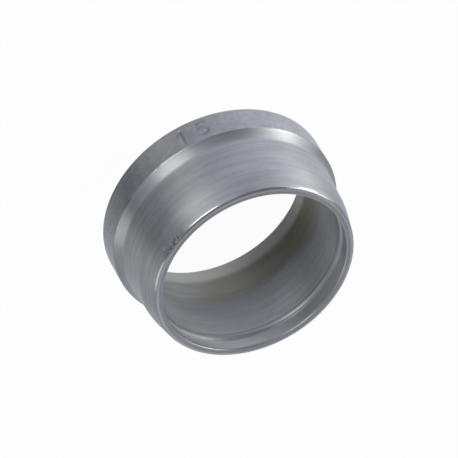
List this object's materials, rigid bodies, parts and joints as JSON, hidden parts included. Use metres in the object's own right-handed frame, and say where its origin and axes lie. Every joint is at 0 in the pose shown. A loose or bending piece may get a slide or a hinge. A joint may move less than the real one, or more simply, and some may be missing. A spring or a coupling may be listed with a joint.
{
  "type": "cutting ring",
  "caption": "Turned steel ring with a coned rear end, a wide collar, a hollow shoulder, a tapered nose and inner cutting edges that bite into a tube.",
  "frame": {"origin": "centre of the flat back face, on the bore's axis", "axes": "+Z along the bore from the back face to the cutting end; X and Y are any two directions across it"},
  "size_m": [0.0188, 0.0188, 0.01],
  "materials": {
    "zinc_steel": "zinc-plated turned steel, satin"
  },
  "bodies": {
    "root": {"cutting_ring": "zinc_steel"}
  },
  "joints": []
}
